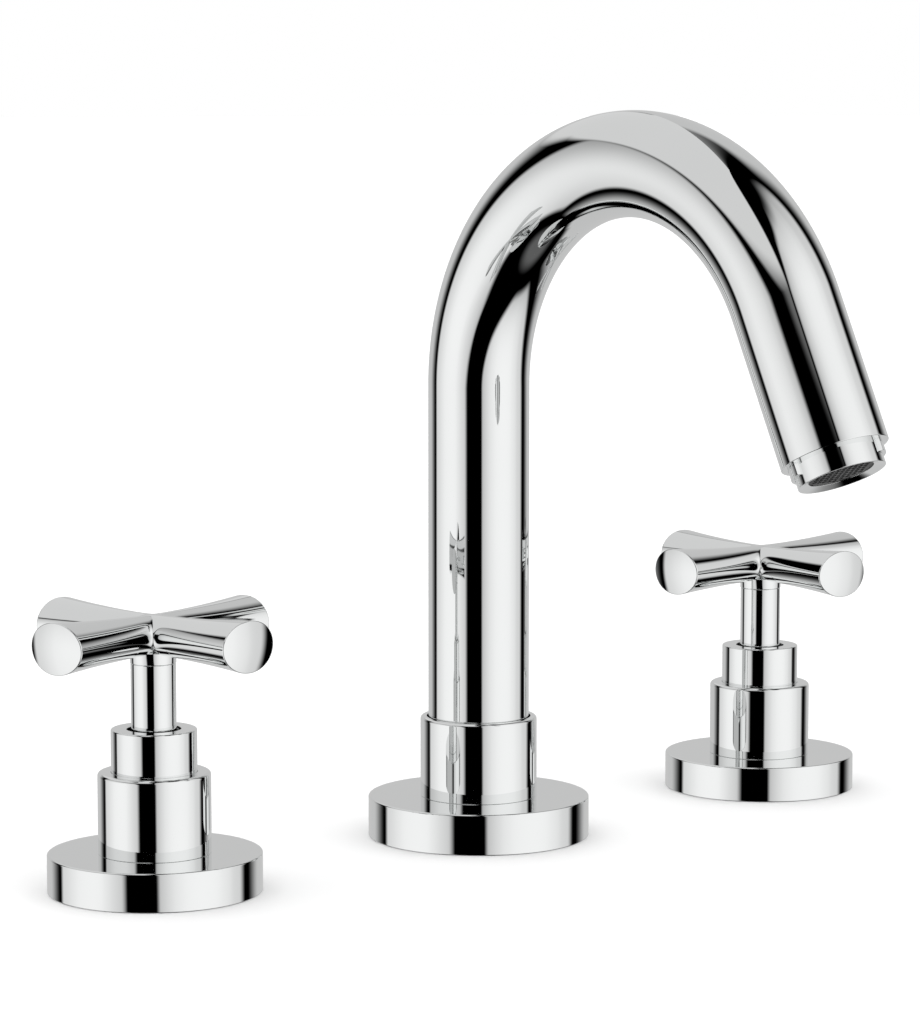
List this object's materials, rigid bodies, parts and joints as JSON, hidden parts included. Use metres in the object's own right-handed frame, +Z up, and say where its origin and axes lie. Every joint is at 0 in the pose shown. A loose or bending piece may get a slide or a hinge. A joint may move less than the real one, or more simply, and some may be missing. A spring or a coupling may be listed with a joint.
{
  "type": "three-hole basin mixer",
  "caption": "Deck-mounted basin mixer set: a tall swan-neck swivel spout between two separate cross-handle quarter-turn valves, each clamped in its own hole.",
  "frame": {"origin": "centre of the spout's hole on the top of the deck", "axes": "+Z up, +X along the row of holes towards the cold valve, -Y towards the basin, where the spout points"},
  "size_m": [0.263, 0.1629, 0.279],
  "materials": {
    "chrome": "polished chrome plate on brass",
    "brass": "machined, unplated",
    "steel": "stainless steel",
    "rubber": "matte black",
    "fibre": "red vulcanised fibre",
    "ceramic": "lapped alumina",
    "plastic": "white acetal"
  },
  "bodies": {
    "base": {"hot_lower_sleeve": "chrome", "hot_upper_sleeve": "chrome", "hot_flange": "chrome", "hot_valve_body": "brass", "hot_headwork": "brass", "hot_backnut": "brass", "hot_inlet_tube": "brass", "hot_clamp_washer": "steel", "hot_flange_seal": "rubber", "hot_seat_seal": "rubber", "hot_deck_washer": "rubber", "hot_headwork_gasket": "fibre", "hot_fixed_disc": "ceramic", "cold_lower_sleeve": "chrome", "cold_upper_sleeve": "chrome", "cold_flange": "chrome", "cold_valve_body": "brass", "cold_headwork": "brass", "cold_backnut": "brass", "cold_inlet_tube": "brass", "cold_clamp_washer": "steel", "cold_flange_seal": "rubber", "cold_seat_seal": "rubber", "cold_deck_washer": "rubber", "cold_headwork_gasket": "fibre", "cold_fixed_disc": "ceramic", "spout_collar": "chrome", "spout_flange": "chrome", "glide_ring": "plastic", "spout_stop_screw": "steel", "spout_flange_seal": "rubber", "spout_shank": "brass", "spout_deck_washer": "rubber", "spout_clamp_washer": "steel", "spout_backnut": "brass", "tee_piece": "brass", "tee_gasket": "fibre"},
    "hot_control": {"hot_handle": "chrome", "hot_stem": "chrome", "hot_stem_grub_screw": "steel", "hot_spindle": "brass", "hot_spindle_o_rings": "rubber", "hot_spindle_circlip": "steel", "hot_moving_disc": "ceramic"},
    "cold_control": {"cold_handle": "chrome", "cold_stem": "chrome", "cold_stem_grub_screw": "steel", "cold_spindle": "brass", "cold_spindle_o_rings": "rubber", "cold_spindle_circlip": "steel", "cold_moving_disc": "ceramic"},
    "spout": {"spout_tube": "chrome", "aerator_housing": "chrome", "aerator_insert": "plastic", "aerator_washer": "rubber", "swivel_spigot": "brass", "spigot_o_rings": "rubber", "spigot_snap_ring": "steel"}
  },
  "joints": [
    {"name": "spout_swivel", "type": "hinge", "parent": "base", "child": "spout", "pos_m": [0, 0, 0.018], "axis": [0, 0, 1], "range_deg": [-60, 60]},
    {"name": "hot_turn", "type": "hinge", "parent": "base", "child": "hot_control", "pos_m": [-0.1, 0, 0.034], "axis": [0, 0, 1], "range_deg": [0, 90]},
    {"name": "cold_turn", "type": "hinge", "parent": "base", "child": "cold_control", "pos_m": [0.1, 0, 0.034], "axis": [0, 0, 1], "range_deg": [-90, 0]}
  ]
}
